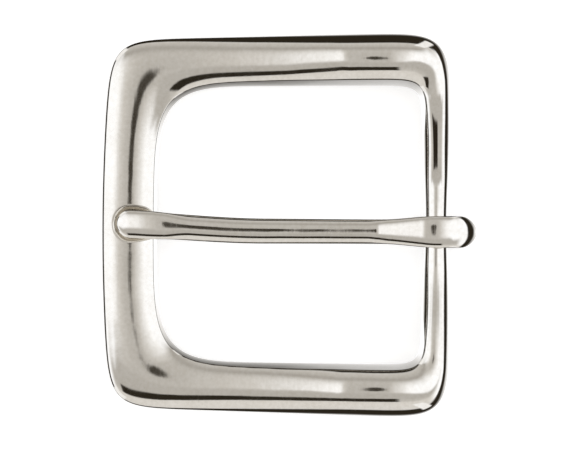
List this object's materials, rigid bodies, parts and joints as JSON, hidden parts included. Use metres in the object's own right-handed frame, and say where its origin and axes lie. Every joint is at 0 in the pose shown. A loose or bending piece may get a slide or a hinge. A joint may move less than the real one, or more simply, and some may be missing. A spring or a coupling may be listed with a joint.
{
  "type": "belt buckle",
  "caption": "Polished heel-bar belt buckle: a rounded, near-square cast ring with a slim bar, and a prong that swings on the bar and rests in a notch in the rim.",
  "frame": {"origin": "on the axis of the bar, half way along it", "axes": "+X from the rim past the bar, in the plane of the buckle; +Y along the bar; +Z out of the front face, away from the belt"},
  "size_m": [0.0477, 0.0486, 0.0075],
  "materials": {
    "frame_plating": "polished nickel plate",
    "prong_plating": "polished nickel plate"
  },
  "bodies": {
    "frame": {"frame": "frame_plating"},
    "prong": {"prong": "prong_plating"}
  },
  "joints": [
    {"name": "prong_hinge", "type": "hinge", "parent": "frame", "child": "prong", "pos_m": [0, 0, 0], "axis": [0, 1, 0], "range_deg": [0, 180]}
  ]
}
